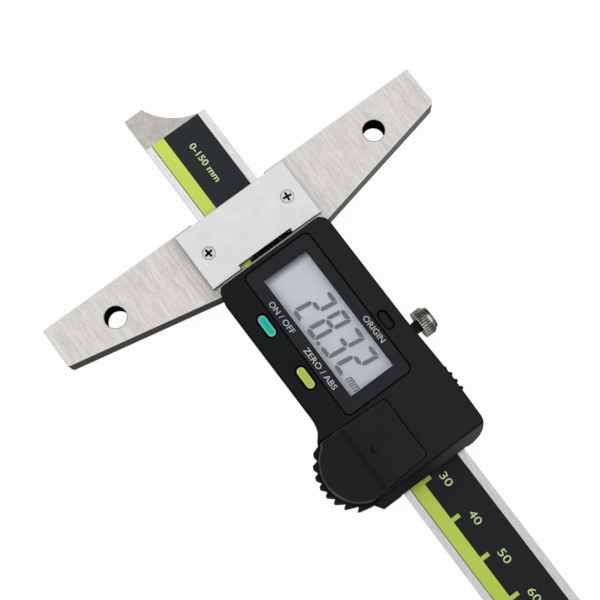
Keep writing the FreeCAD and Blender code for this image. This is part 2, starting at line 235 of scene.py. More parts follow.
def base_steel():
    hole_x, hole_y, hole_radius = 35.34 * mm, -7.03 * mm, 2.5 * mm
    plate_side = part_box("cover_plate")[1].x
    material, tree, shader = new_material("base_steel_brushed", Specular_IOR_Level=0.0)
    place = object_place(tree)
    facing = use_group(tree, face_direction)
    rim = use_group(tree, soft_edges, Radius=0.08 * mm, Gain=3.0)
    fine = use_group(tree, brush_lines, Across=3000.0, Along=330.0)
    broad = use_group(tree, brush_lines, Across=950.0, Along=85.0)
    shade_grind_lines = use_group(tree, brush_lines, Across=2300.0, Along=16.0)
    grain = use_group(tree, fine_grain, Size=2600.0)
    streak = weighed(tree, (fine["Lines"], 0.4), (broad["Lines"], 0.3), (grain["Grain"], 0.3))
    streak = ramp(tree, streak, 0.38, 0.62)
    top = blend(tree, streak, (196, 192, 189), (229, 227, 224))
    out = math_node(tree, "ABSOLUTE", place[0])
    # Painted shade: the top is darkened in grind-line streaks beside the cover plate, more on its left side.
    plate_side_shade = ramp(tree, out, plate_side + 0.1 * mm, plate_side + 3.8 * mm, 1.0, 0.0)
    plate_side_shade = times(tree, plate_side_shade, ramp(tree, place[0], -1 * mm, 1 * mm, 1.0, 0.45))
    lines = ramp(tree, shade_grind_lines["Lines"], 0.42, 0.6, 0.2, 1.0)
    top = blend(tree, times(tree, plate_side_shade, lines), top, (160, 157, 153))
    # Painted shade: the side walls are darker than the top, the left ones darker than the right.
    left_wall_shade = blend(tree, streak, (58, 55, 49), (84, 81, 75))
    right_wall_shade = blend(tree, streak, (98, 97, 94), (126, 125, 121))
    wall = blend(tree, ramp(tree, place[0], -12 * mm, 12 * mm), left_wall_shade, right_wall_shade)
    lapped = ramp(tree, place[1], -0.05 * mm, -0.02 * mm)
    wall = blend(tree, lapped, wall, (205, 203, 200))
    body = blend(tree, facing["Level"], wall, top)
    # Painted highlight: chamfers and edges are painted paler; they are also polished.
    edge = math_node(tree, "MAXIMUM", facing["Sloped"], times(tree, rim["Edge"], 0.6))
    body = blend(tree, edge, body, (226, 225, 222))
    # Painted shade: the walls of the two holes are painted nearly black.
    from_hole = reach(tree, math_node(tree, "SUBTRACT", out, hole_x),
                      math_node(tree, "SUBTRACT", place[1], hole_y))
    bore_shade = ramp(tree, from_hole, hole_radius + 0.02 * mm, hole_radius + 0.06 * mm, 1.0, 0.0)
    bore_shade = times(tree, bore_shade, ramp(tree, facing["Level"], 0.0, 1.0, 1.0, 0.0))
    shiny = math_node(tree, "MAXIMUM", weighed(tree, (facing["Level"], 0.85), (lapped, 0.85)), edge)
    shiny = math_node(tree, "ADD", times(tree, shiny, 0.85), 0.15)
    shiny = add(tree, "ShaderNodeClamp", {0: shiny}).outputs[0]
    tree.links.new(times(tree, shiny, ramp(tree, bore_shade, 0.0, 1.0, 1.0, 0.0)), shader["Metallic"])
    level_rough = ramp(tree, streak, 0.0, 1.0, 0.42, 0.3)
    rough = add(tree, "ShaderNodeMix", {0: facing["Level"], 2: 0.48, 3: level_rough}).outputs[0]
    body = blend(tree, bore_shade, body, (18, 17, 15))
    surface(tree, shader, body, rough, streak, 0.15, 0.01 * mm, rim["Normal"])
    return material


dress("slider_base", base_steel())


# Cover plate: thin steel sheet screwed over the channel. It is blasted to an even satin, with a fine grain
# and no brush lines, and its side walls are painted dark as shade.
def satin_metal(name, light, dark, rough, size, edge_radius=0.08 * mm, edge_colour=(238, 238, 236),
                wall=None):
    """Blasted or drawn metal: two tones in a fine mottle, edges painted paler as bare metal and as a
    highlight, and side walls painted darker as shade if a wall colour is given.
    """
    material, tree, shader = new_material(name, Metallic=1.0)
    grain = use_group(tree, fine_grain, Size=size)
    rim = use_group(tree, soft_edges, Radius=edge_radius, Gain=3.0)
    mottle = ramp(tree, weighed(tree, (grain["Grain"], 0.5), (grain["Cloud"], 0.5)), 0.35, 0.65)
    body = blend(tree, mottle, dark, light)
    if wall:
        facing = use_group(tree, face_direction)
        # Painted shade: the side walls take the darker wall colour.
        body = blend(tree, math_node(tree, "ADD", facing["Level"], facing["Sloped"]), wall, body)
    # Edges painted paler, as bare metal and as a painted highlight.
    body = blend(tree, rim["Edge"], body, edge_colour)
    rough = ramp(tree, mottle, 0.0, 1.0, rough + 0.05, rough - 0.05)
    surface(tree, shader, body, rough, grain["Grain"], 0.1, 0.01 * mm, rim["Normal"])
    return material


dress("cover_plate", satin_metal("cover_steel_satin", (226, 226, 227), (219, 219, 220), 0.42, 14000.0,
                                 edge_radius=0.04 * mm, edge_colour=(228, 228, 228), wall=(74, 72, 68)))


# Small screws: two bright M2 screws hold the cover plate and four black ones the housing, all
# with a cross recess. The heads are slightly crowned and stand a hair proud of their seats.
def new_piece(name, mesh, material=None):
    """Adds a finished mesh as an object at the origin."""
    if material:
        mesh.materials.clear()
        mesh.materials.append(material)
    piece = bpy.data.objects.new(name, mesh)
    bpy.context.scene.collection.objects.link(piece)
    return piece


def run_tree(tree, name, values, seats=()):
    """Runs a geometry tree with its inputs set, and leaves the result as a plain mesh."""
    start = bpy.data.meshes.new("seats")
    start.from_pydata(seats, [], [])
    holder = bpy.data.objects.new("holder", start)
    bpy.context.scene.collection.objects.link(holder)
    grow = holder.modifiers.new("grow", "NODES")
    grow.node_group = tree
    for item in tree.interface.items_tree:
        if item.item_type == "SOCKET" and item.in_out == "INPUT" and item.name in values:
            grow[item.identifier] = values[item.name]
    graph = bpy.context.evaluated_depsgraph_get()
    mesh = bpy.data.meshes.new_from_object(holder.evaluated_get(graph), depsgraph=graph)
    holder.modifiers.remove(grow)
    bpy.data.objects.remove(holder)
    return new_piece(name, mesh)


def copies(tree, result, points, copy, material, **wires):
    """Puts a copy on each point, makes the copies real and gives them their material."""
    placed = add(tree, "GeometryNodeInstanceOnPoints", {"Points": points, "Instance": copy, **wires})
    real = add(tree, "GeometryNodeRealizeInstances", {0: placed.outputs[0]})
    finished = add(tree, "GeometryNodeSetMaterial", {"Geometry": real.outputs[0], "Material": material})
    tree.links.new(finished.outputs[0], result["Geometry"])


def screws_tree(material):
    sizes = {"Head radius": 1.45, "Head height": 0.7, "Crown": 0.1, "Recess length": 1.9,
             "Recess width": 0.42, "Recess depth": 0.45, "Shank radius": 0.95, "Shank length": 4.1}
    takes = [("Seats", "Geometry", None)] + [(label, "Float", size * mm) for label, size in sizes.items()]
    takes += [(label, "Float", 0.0) for label in ("Tip over", "First turn", "Turn step")]
    tree, given, result = node_group("Cross recess screws", "GeometryNodeTree", takes,
                                     [("Geometry", "Geometry")])

    def moved(geometry, x, y, z, turn=0.0):
        place = add(tree, "ShaderNodeCombineXYZ", {0: x, 1: y, 2: z})
        return add(tree, "GeometryNodeTransform", {"Geometry": geometry, "Translation": place.outputs[0],
                                                   "Rotation": (0.0, 0.0, turn)}).outputs[0]

    head = add(tree, "GeometryNodeMeshCylinder",
               {"Vertices": 40, "Fill Segments": 5, "Radius": given["Head radius"],
                "Depth": given["Head height"]})
    head = moved(head.outputs[0], 0.0, 0.0, times(tree, given["Head height"], -0.5))
    spot = add(tree, "ShaderNodeSeparateXYZ",
               {0: add(tree, "GeometryNodeInputPosition").outputs[0]}).outputs
    share = math_node(tree, "DIVIDE", reach(tree, spot[0], spot[1]), given["Head radius"])
    sunk = times(tree, math_node(tree, "POWER", share, 5.0), given["Crown"])
    upper = math_node(tree, "GREATER_THAN", spot[2], -0.01 * mm)
    drop = add(tree, "ShaderNodeCombineXYZ", {2: times(tree, sunk, -1.0)})
    head = add(tree, "GeometryNodeSetPosition", {"Geometry": head, "Selection": upper,
                                                 "Offset": drop.outputs[0]}).outputs[0]
    size = add(tree, "ShaderNodeCombineXYZ",
               {0: given["Recess length"], 1: given["Recess width"],
                2: times(tree, given["Recess depth"], 2.0)})
    arm = add(tree, "GeometryNodeMeshCube", {"Size": size.outputs[0]}).outputs[0]
    recess = add(tree, "GeometryNodeMeshBoolean", {0: head, 1: arm}, operation="DIFFERENCE", solver="EXACT")
    tree.links.new(moved(arm, 0.0, 0.0, 0.02 * mm, math.pi / 2), recess.inputs[1])
    low = math_node(tree, "LESS_THAN", spot[2], -0.05 * mm)
    near = math_node(tree, "LESS_THAN", share, 0.8)
    marked = add(tree, "GeometryNodeStoreNamedAttribute",
                 {"Geometry": recess.outputs[0], "Name": "recess", "Value": times(tree, low, near)},
                 data_type="FLOAT", domain="FACE")
    shank = add(tree, "GeometryNodeMeshCylinder", {"Vertices": 20, "Radius": given["Shank radius"],
                                                   "Depth": given["Shank length"]})
    down = math_node(tree, "ADD", given["Head height"], times(tree, given["Shank length"], 0.5))
    shank = moved(shank.outputs[0], 0.0, 0.0, times(tree, down, -1.0))
    whole = add(tree, "GeometryNodeJoinGeometry", {0: marked.outputs[0]})
    tree.links.new(shank, whole.inputs[0])
    turn = times(tree, add(tree, "GeometryNodeInputIndex").outputs[0], given["Turn step"])
    turn = add(tree, "ShaderNodeCombineXYZ", {0: given["Tip over"],
                                              2: math_node(tree, "ADD", turn, given["First turn"])})
    copies(tree, result, given["Seats"], whole.outputs[0], material, Rotation=turn.outputs[0])
    return tree


def screw_finish(name, light, dark, ring, recess):
    material, tree, shader = new_material(name, Metallic=1.0)
    grain = use_group(tree, fine_grain, Size=7000.0)
    facing = use_group(tree, face_direction)
    mottle = ramp(tree, grain["Cloud"], 0.35, 0.65)
    body = blend(tree, mottle, dark, light)
    # Painted shade: the sloped ring round the head is darker, and the cross recess is painted nearly black.
    body = blend(tree, facing["Level"], ring, body)
    inside = add(tree, "ShaderNodeAttribute", attribute_name="recess").outputs["Fac"]
    surface(tree, shader, blend(tree, inside, body, recess), (0.38, 0.26), grain["Grain"], 0.1, 0.01 * mm)
    return material


cover_screw_steel = screw_finish("screw_steel_bright", (222, 220, 217), (194, 191, 186), (122, 120, 115),
                                 (14, 12, 11))
cover_seats = [(x * mm, -7.97 * mm, 7.62 * mm) for x in (-10.7, 10.7)]
cover_screws = run_tree(screws_tree(cover_screw_steel), "cover_screw_pair", {
    "Recess length": 2.1 * mm, "Recess width": 0.52 * mm, "First turn": math.radians(9.0),
    "Turn step": math.radians(-16.0)}, cover_seats)
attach(cover_screws, "gauge")
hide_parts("cover_screws")
housing_screw_steel = screw_finish("screw_steel_black", (74, 74, 76), (56, 56, 58), (40, 40, 42), (8, 8, 8))
housing_seats = [(x * mm, y * mm, 0.05 * mm)
                 for x, y in ((-11.3, -21.5), (11.3, -21.5), (-11.3, -53.3), (11.3, -70.8))]
housing_screws = run_tree(screws_tree(housing_screw_steel), "housing_screw_set", {
    "Head height": 0.75 * mm, "Recess length": 1.7 * mm, "Shank radius": 0.78 * mm, "Shank length": 9.1 * mm,
    "Tip over": math.pi, "First turn": math.radians(12.0), "Turn step": math.radians(31.0)}, housing_seats)
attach(housing_screws, "gauge")
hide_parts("housing_screws")
turned_steel = satin_metal("screw_steel_turned", (214, 212, 208), (190, 188, 184), 0.3, 9000.0,
                           edge_radius=0.05 * mm)
dress("stop_screws", turned_steel)
dress("gib_screws", turned_steel)


# Depth beam: ground and lapped steel. The rails beside the scale are nearly mirror bright, painted darker
# towards the tail as shade, with a painted shadow line along the scale's left edge, and the hooked blade
# beyond the scale is a duller, slightly mottled grey.
def beam_finish():
    scale_low, scale_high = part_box("scale_label")
    scale_side, scale_end = scale_low.x, scale_high.y
    material, tree, shader = new_material("beam_steel_lapped", Metallic=1.0)
    brush = use_group(tree, brush_lines, Across=3000.0, Along=420.0)
    grain = use_group(tree, fine_grain, Size=3000.0)
    stain = use_group(tree, fine_grain, Size=30000.0)
    facing = use_group(tree, face_direction)
    place = object_place(tree)
    blade = ramp(tree, place[1], scale_end + 0.02 * mm, scale_end + 0.08 * mm)
    worn = ramp(tree, weighed(tree, (brush["Lines"], 0.5), (grain["Grain"], 0.5)), 0.38, 0.62)
    left = blend(tree, worn, (217, 217, 219), (235, 235, 238))
    right = blend(tree, worn, (206, 206, 205), (234, 233, 231))
    rail = blend(tree, ramp(tree, place[0], -1 * mm, 1 * mm), left, right)
    # Painted shade: the rails darken towards the tail.
    tail_shade = ramp(tree, place[1], -66 * mm, -30 * mm, 0.72, 0.0)
    rail = blend(tree, tail_shade, rail, blend(tree, worn, (178, 178, 179), (202, 202, 204)))
    # Painted shadow: a dark line along the left edge of the scale, where it meets the rail.
    seam_shadow = times(tree, ramp(tree, place[0], scale_side - 0.19 * mm, scale_side - 0.16 * mm),
                 ramp(tree, place[0], scale_side + 0.07 * mm, scale_side + 0.17 * mm, 1.0, 0.0))
    rail = blend(tree, seam_shadow, rail, (92, 94, 84))
    mottle = ramp(tree, weighed(tree, (stain["Cloud"], 0.4), (grain["Grain"], 0.6)), 0.36, 0.64)
    tip = blend(tree, mottle, (176, 172, 167), (204, 202, 199))
    top = blend(tree, blade, rail, tip)
    level = math_node(tree, "MAXIMUM", facing["Level"], facing["Sloped"])
    wall = blend(tree, worn, (176, 175, 172), (204, 203, 200))
    polished = ramp(tree, brush["Lines"], 0.3, 0.7, 0.3, 0.18)
    dull = ramp(tree, grain["Grain"], 0.3, 0.7, 0.5, 0.4)
    rough = add(tree, "ShaderNodeMix", {0: blade, 2: polished, 3: dull}).outputs[0]
    surface(tree, shader, blend(tree, level, wall, top), rough, worn, 0.12, 0.01 * mm)
    return material


dress("depth_beam", beam_finish())


# Scale: glass-epoxy strip with a printed film, black with a lime band along its left side.
# Lime marks stand on the band every 10 mm, and pale numbers beside them. The part is drawn
# extended by 28.32 mm, so the zero mark lies 45.6 mm behind the measuring face.
scale_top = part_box("scale_label")[1].z
band_edge = -3.34 * mm
zero_mark_y = -45.6 * mm


def moulded(name, colour, rough, size, specular=0.3, bump=0.12, edge_radius=0.12 * mm, edge_gain=1.2,
            edge_lift=1.6, wall=None, trim=None, **sockets):
    """Moulded plastic or rubber: a fine spark-eroded grain, faint clouds, edges painted a little paler as
    rubbing wear and as a highlight. wall is the colour of the side walls, and trim adds (mask, colour) pairs
    for painted lines of light and shade, and flecks."""
    if wall:
        sockets.update(Coat_Roughness=rough)
    material, tree, shader = new_material(name, Specular_IOR_Level=0.0 if wall else specular, **sockets)
    grain = use_group(tree, fine_grain, Size=size)
    rim = use_group(tree, soft_edges, Radius=edge_radius, Gain=edge_gain)
    base = paint(*colour)
    dark = tuple(c * 0.86 for c in base[:3]) + (1.0,)
    light = tuple(min(1.0, c * 1.12) for c in base[:3]) + (1.0,)
    mottle = ramp(tree, weighed(tree, (grain["Grain"], 0.65), (grain["Cloud"], 0.35)), 0.32, 0.68)
    body = blend(tree, mottle, dark, light)
    # Painted highlight and rubbing wear: edges are painted paler.
    edge_wear_and_highlight = tuple(min(1.0, c * edge_lift + 0.004) for c in base[:3]) + (1.0,)
    body = blend(tree, rim["Edge"], body, edge_wear_and_highlight)
    if wall:
        facing = use_group(tree, face_direction)
        front = math_node(tree, "ADD", facing["Level"], facing["Sloped"])
        body = blend(tree, front, wall, body)
        tree.links.new(ramp(tree, front, 0.0, 1.0, specular * 0.4, specular * 2.4), shader["Coat Weight"])
    for mask, shade in (trim(tree) if trim else ()):
        body = blend(tree, mask, body, shade)
    rough = ramp(tree, mottle, 0.0, 1.0, rough + 0.06, rough - 0.06)
    surface(tree, shader, body, rough, grain["Grain"], bump, 0.02 * mm, rim["Normal"])
    return material


def scale_film_finish():
    material, tree, shader = new_material("scale_film", Specular_IOR_Level=0.12)
    grain = use_group(tree, fine_grain, Size=6000.0)
    place = object_place(tree)
    black = ramp(tree, place[0], band_edge - 0.03 * mm, band_edge + 0.03 * mm)
    # Painted shade: the lime band and the black darken towards the tail.
    far = ramp(tree, place[1], -80 * mm, 15 * mm)
    green = blend(tree, grain["Cloud"], (172, 194, 76), (187, 209, 88))
    pale = blend(tree, grain["Cloud"], (192, 213, 88), (205, 225, 101))
    green = blend(tree, far, green, pale)
    dark = blend(tree, far, (23, 25, 27), (39, 42, 46))
    dark = blend(tree, ramp(tree, grain["Cloud"], 0.4, 0.6, 0.0, 0.25), dark, (30, 32, 35))
    surface(tree, shader, blend(tree, black, green, dark), (0.46, 0.36), grain["Grain"], 0.05, 0.01 * mm)
    return material


dress("scale_label", scale_film_finish())
dress("scale_plate", moulded("scale_epoxy_board", (150, 158, 96), 0.5, 7000.0))


def ink(name, colour, rough=0.45):
    return moulded(name, colour, rough, 12000.0, specular=0.3, bump=0.05, edge_gain=0.0)


def marks_tree(material):
    tree, given, result = node_group(
        "Row of marks", "GeometryNodeTree",
        [("Marks", "Int", 16), ("First", "Vector", None), ("Step", "Vector", None),
         ("Mark size", "Vector", None)], [("Geometry", "Geometry")])
    row = add(tree, "GeometryNodeMeshLine", {"Count": given["Marks"], "Start Location": given["First"],
                                             "Offset": given["Step"]})
    bar = add(tree, "GeometryNodeMeshCube", {"Size": given["Mark size"]})
    copies(tree, result, row.outputs[0], bar.outputs[0], material)
    return tree


lime_ink = ink("scale_ink_lime", (172, 194, 84))
mark_reach = 1.94 * mm
print_thick = 0.012 * mm
scale_marks = run_tree(marks_tree(lime_ink), "scale_marks", {
    "Marks": 16,
    "First": (band_edge + mark_reach / 2, zero_mark_y, scale_top + print_thick / 2),
    "Step": (0.0, -10 * mm, 0.0),
    "Mark size": (mark_reach, 0.95 * mm, print_thick)})
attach(scale_marks, "beam")


def lettering(name, words, middle, length, height, material, body, weight=0.02):
    """Words printed flat on a face, reading along -Y with their tops towards +X."""
    curve = bpy.data.curves.new(name, "FONT")
    curve.body = words
    curve.align_x = "CENTER"
    curve.offset = weight
    curve.resolution_u = 4
    curve.extrude = 0.5
    drawn = bpy.data.objects.new("drawn", curve)
    bpy.context.scene.collection.objects.link(drawn)
    graph = bpy.context.evaluated_depsgraph_get()
    mesh = bpy.data.meshes.new_from_object(drawn.evaluated_get(graph), depsgraph=graph)
    bpy.data.objects.remove(drawn)
    xs = [v.co.x for v in mesh.vertices]
    ys = [v.co.y for v in mesh.vertices]
    stretch = height / (max(ys) - min(ys))
    widen = length / (max(xs) - min(xs))
    cx, cy = (max(xs) + min(xs)) / 2, (max(ys) + min(ys)) / 2
    for v in mesh.vertices:
        u, w = (v.co.x - cx) * widen, (v.co.y - cy) * stretch
        v.co = (middle[0] + w, middle[1] - u, middle[2] + (0.5 + v.co.z) * print_thick)
    piece = new_piece(name, mesh, material)
    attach(piece, body)


number_ink = ink("scale_ink_pale_lime", (196, 212, 146))
number_height = 1.78 * mm
number_shift = 0.94 * mm
for value in range(0, 150, 10):
    digits = len(str(value))
    along = zero_mark_y - 2.38 * mm - value * mm - number_shift * (digits - 2)
    lettering("scale_number_%03d" % value, str(value), (0.99 * mm, along, scale_top),
              1.38 * mm + number_height * (digits - 1), number_height, number_ink, "beam",
              weight=0.002)
lettering("scale_range", "0-150 mm", (0.9 * mm, 9.6 * mm, scale_top), 10.5 * mm, 1.6 * mm,
          number_ink, "beam")

# Beam stop: a small steel plate across the tail that keeps the beam in the slider. It is
# stamped, blasted to a satin and held by two screws.
dress("beam_stop", satin_metal("stop_steel_satin", (205, 203, 199), (188, 186, 182), 0.42, 9000.0))

# Gib, clamp pad and battery contacts: a drawn brass strip and pad inside the slider, and bent
# spring steel contacts under the battery, whose case is bright steel.
brass = satin_metal("brass_drawn", (206, 176, 104), (184, 152, 84), 0.34, 8000.0,
                    edge_colour=(226, 202, 140))
dress("gib_strip", brass)
dress("clamp_pad", brass)
contact = satin_metal("contact_spring_steel", (210, 208, 200), (190, 188, 180), 0.3, 8000.0)
dress("battery_contact_minus", contact)
dress("battery_contact_plus", contact)
dress("battery_cell", satin_metal("cell_case_steel", (218, 217, 214), (200, 199, 196), 0.28, 8000.0))


# Clamp screw: turned steel with a straight-knurled head, bright on the knurl and dark with oil and shadow at
# the neck. The knurl's grooves are painted dark as shade, its inner edge, outer chamfer and edges carry
# painted highlights, and the head is painted darker on its low side as shade and lighter on its high side as
# light.
def knob_finish():
    low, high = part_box("clamp_screw")
    axis = (low + high) / 2
    neck_end, knurl_foot, bevel_foot, boss_foot = 16.6 * mm, 16.85 * mm, 18.9 * mm, 19.44 * mm
    material, tree, shader = new_material("knob_steel_knurled", Metallic=1.0,
                                          Specular_Tint=(0.55, 0.54, 0.52, 1.0))
    grain = use_group(tree, fine_grain, Size=6000.0)
    oil = use_group(tree, fine_grain, Size=26000.0)
    rim = use_group(tree, soft_edges, Radius=0.05 * mm, Gain=3.5)
    place = object_place(tree)
    side = math_node(tree, "SUBTRACT", place[1], axis.y)
    rise = math_node(tree, "SUBTRACT", place[2], axis.z)
    crest = ramp(tree, reach(tree, side, rise), 3.04 * mm, 3.19 * mm)
    oily = ramp(tree, oil["Cloud"], 0.42, 0.58)
    ridge = blend(tree, oily, (92, 90, 85), (204, 201, 196))
    # Painted shade: the grooves between the knurl's crests are nearly black.
    head = blend(tree, crest, (24, 23, 20), ridge)
    outside = ramp(tree, place[0], neck_end, neck_end + 0.12 * mm)
    # Painted highlights: a bright line at the knurl's inner edge, then the outer chamfer.
    inner_highlight = ramp(tree, place[0], knurl_foot, knurl_foot + 0.1 * mm, 1.0, 0.0)
    head = blend(tree, times(tree, inner_highlight, crest), head, (226, 224, 219))
    bevel_highlight = ramp(tree, place[0], bevel_foot, bevel_foot + 0.05 * mm)
    head = blend(tree, bevel_highlight, head, blend(tree, oily, (70, 68, 64), (216, 213, 208)))
    boss = ramp(tree, place[0], boss_foot, boss_foot + 0.03 * mm)
    head = blend(tree, boss, head, blend(tree, oily, (34, 33, 30), (112, 110, 105)))
    face = ramp(tree, place[0], high.x - 0.05 * mm, high.x - 0.01 * mm)
    head = blend(tree, face, head, (140, 138, 132))
    # Painted shade on the head's low side, and painted light on its high side.
    low_side_shade = ramp(tree, place[1], axis.y - 2.9 * mm, axis.y - 1.2 * mm, 0.65, 0.0)
    head = blend(tree, times(tree, low_side_shade, ramp(tree, crest, 0.0, 1.0, 0.4, 1.0)), head, (70, 71, 65))
    high_side_light = ramp(tree, place[1], axis.y + 1.4 * mm, axis.y + 2.8 * mm, 0.0, 0.5)
    head = blend(tree, high_side_light, head, (152, 150, 142))
    neck = blend(tree, ramp(tree, oil["Grain"], 0.45, 0.6), (10, 10, 9), (44, 46, 38))
    body = blend(tree, outside, neck, head)
    # Painted highlight on the edges.
    body = blend(tree, times(tree, rim["Edge"], 0.6), body, (150, 148, 143))
    surface(tree, shader, body, (0.4, 0.26), grain["Grain"], 0.15, 0.02 * mm, rim["Normal"])
    return material


dress("clamp_screw", knob_finish())


# Front housing and battery holder: glass-filled black plastic with a fine spark-eroded grain.
# The housing's front edge carries a painted highlight line, its upper half and rear bevel are painted
# lighter as light, a painted shade line runs along the rear bevel's top edge, and its walls are duller than
# its face. The holder's walls and edges are painted lighter as sheen.
def housing_lines(tree):
    """Painted light and shade: the highlight line along the front edge, the lighter upper half, the lighter
    rear bevel and the dark shade line along its top edge.
    """
    rim_low, front_rim, bevel_y = 12.3 * mm, -16.86 * mm, -73.2 * mm
    facing = use_group(tree, face_direction)
    place = object_place(tree)
    # Painted highlight at the front edge, painted light on the upper half and rear bevel, painted shade
    # along the bevel's top edge.
    high = ramp(tree, place[2], rim_low, rim_low + 0.05 * mm)
    front = times(tree, ramp(tree, place[1], front_rim, front_rim + 0.04 * mm), high)
    rear_bevel_light = ramp(tree, place[1], bevel_y - 0.1 * mm, bevel_y, 1.0, 0.0)
    rear_bevel_light = times(tree, times(tree, facing["Sloped"], rear_bevel_light),
                 ramp(tree, place[0], -4 * mm, 11 * mm, 0.0, 0.85))
    off = math_node(tree, "ABSOLUTE", math_node(tree, "SUBTRACT", place[1], bevel_y))
    ledge_shade = times(tree, ramp(tree, off, 0.1 * mm, 0.3 * mm, 0.9, 0.0), high)
    upper = ramp(tree, place[0], -9 * mm, 3 * mm, 0.0, 0.85)
    upper = times(tree, upper, facing["Level"])
    front = times(tree, facing["Sloped"], front)
    return (upper, (34, 35, 37)), (rear_bevel_light, (76, 77, 76)), (ledge_shade, (6, 6, 6)), (front, (142, 143, 141))


dress("front_housing", moulded("housing_black_grained", (23, 24, 25), 0.5, 5200.0, specular=0.05, bump=0.25,
                               edge_lift=2.2, edge_gain=1.0, wall=(22, 23, 24), trim=housing_lines))
# Painted light: the holder's walls and edges are painted lighter than its face, as sheen on the teeth.
dress("battery_holder", moulded("holder_black_grained", (15, 16, 16), 0.5, 5200.0, specular=0.08, bump=0.25,
                                edge_lift=4.5, edge_gain=1.5, wall=(38, 39, 39)))


# Notch shade strip and seal: a strip of black felt in front of the housing, cut to a row of small tufts,
# laid in the cover plate's notch as painted shade over the scale, with olive flecks painted on it for the
# lime band seen in that shade; and a foam plug beside the battery holder. Both are glued.
def skin(shape, rings, smooth=True):
    """Faces between rings of points that all run the same way round."""
    for below, above in zip(rings, rings[1:]):
        for i in range(len(below)):
            j = (i + 1) % len(below)
            shape.faces.new((below[i], below[j], above[j], above[i])).smooth = smooth


def block(shape, outline, low, high, top=None):
    """A closed upright block on an outline; its top may have another outline."""
    rings = [[shape.verts.new((x, y, low)) for x, y in outline],
             [shape.verts.new((x, y, high)) for x, y in top or outline]]
    shape.faces.new(rings[1])
    shape.faces.new(rings[0][::-1])
    skin(shape, rings, smooth=False)


def closed_piece(name, shape, material):
    """Turns the finished shape's faces outwards and adds it as a piece."""
    bmesh.ops.recalc_face_normals(shape, faces=shape.faces)
    mesh = bpy.data.meshes.new(name)
    shape.to_mesh(mesh)
    shape.free()
    return new_piece(name, mesh, material)


def felt_piece(name, outline, low, high, material):
    """Felt or foam cut to an outline in millimetres, upright between two heights."""
    shape = bmesh.new()
    block(shape, [(x * mm, y * mm) for x, y in outline], low * mm, high * mm)
    piece = closed_piece(name, shape, material)
    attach(piece, "gauge")


def felt_flecks(tree):
    fleck = use_group(tree, fine_grain, Size=1500.0)["Grain"]
    return ((ramp(tree, fleck, 0.56, 0.66, 0.0, 0.8), (70, 74, 46)),)


# Painted shade: the black felt strip stands in for the shade in the notch, and its olive flecks for the lime
# band seen in that shade.
shade_felt = moulded("felt_black_shade", (11, 11, 10), 0.85, 3000.0, specular=0.0, bump=0.5, edge_gain=0.0,
               trim=felt_flecks)
tufts = [(-4.3 + 0.4 * i, -14.33 if i % 2 else -14.62) for i in range(28)] + [(6.85, -14.6)]
strip = [(6.85, -16.43), (-7.3, -16.43), (-7.3, -14.45), (-6.75, -14.45), (-6.75, -15.98), (-4.3, -15.98)]
felt_piece("notch_shade_strip", strip + tufts, 6.72, 7.3, shade_felt)
seal_x, seal_y, seal_radius = -13.22, -72.93, 0.32
seal_turns = [math.pi * i / 4 for i in range(8)]
felt_piece("holder_seal", [(seal_x + seal_radius * math.cos(t), seal_y + seal_radius * math.sin(t))
                           for t in seal_turns], 1.0, 8.55, shade_felt)

# Display plate: a dark satin plastic plate, glued in its groove around the window. The words
# beside the buttons are pad-printed on it in grey.
plate_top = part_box("display_plate")[1].z
# Painted shade: the plate's side walls, in its groove and round the window, are painted darker than its
# face.
dress("display_plate", moulded("plate_black_satin", (31, 32, 35), 0.42, 6500.0, specular=0.1, bump=0.12,
                               edge_radius=0.06 * mm, edge_lift=1.5, wall=(14, 14, 15)))
word_ink = ink("word_ink_grey", (190, 191, 195))
word_height = 1.3 * mm
for name, words, x, y, length in (("word_on_off", "ON / OFF", -6.75, -30.05, 8.2),
                                  ("word_zero_abs", "ZERO / ABS", -6.75, -43.8, 10.7),
                                  ("word_origin", "ORIGIN", 7.46, -43.8, 6.75)):
    lettering(name, words, (x * mm, y * mm, plate_top), length * mm, word_height, word_ink, "gauge",
              weight=0.005)


# Window and liquid crystal panel: a clear acrylic pane over the grey-green panel. The figures
# are dark segments, each with a faint shadow on the reflector under the crystal.
def window_finish():
    material, tree, shader = new_material("window_acrylic", Transmission_Weight=1.0, IOR=1.49,
                                          Roughness=0.02, Base_Color=(0.97, 0.985, 0.98, 1.0))
    principled = tree.nodes["Principled BSDF"]
    dust = use_group(tree, fine_grain, Size=2500.0)
    tree.links.new(ramp(tree, dust["Cloud"], 0.4, 0.7, 0.01, 0.05), shader["Roughness"])
    clear = add(tree, "ShaderNodeBsdfTransparent")
    either = add(tree, "ShaderNodeMixShader",
                 {0: add(tree, "ShaderNodeLightPath").outputs["Is Shadow Ray"], 1: principled.outputs[0],
                  2: clear.outputs[0]})
    tree.links.new(either.outputs[0], tree.nodes["Material Output"].inputs["Surface"])
    return material


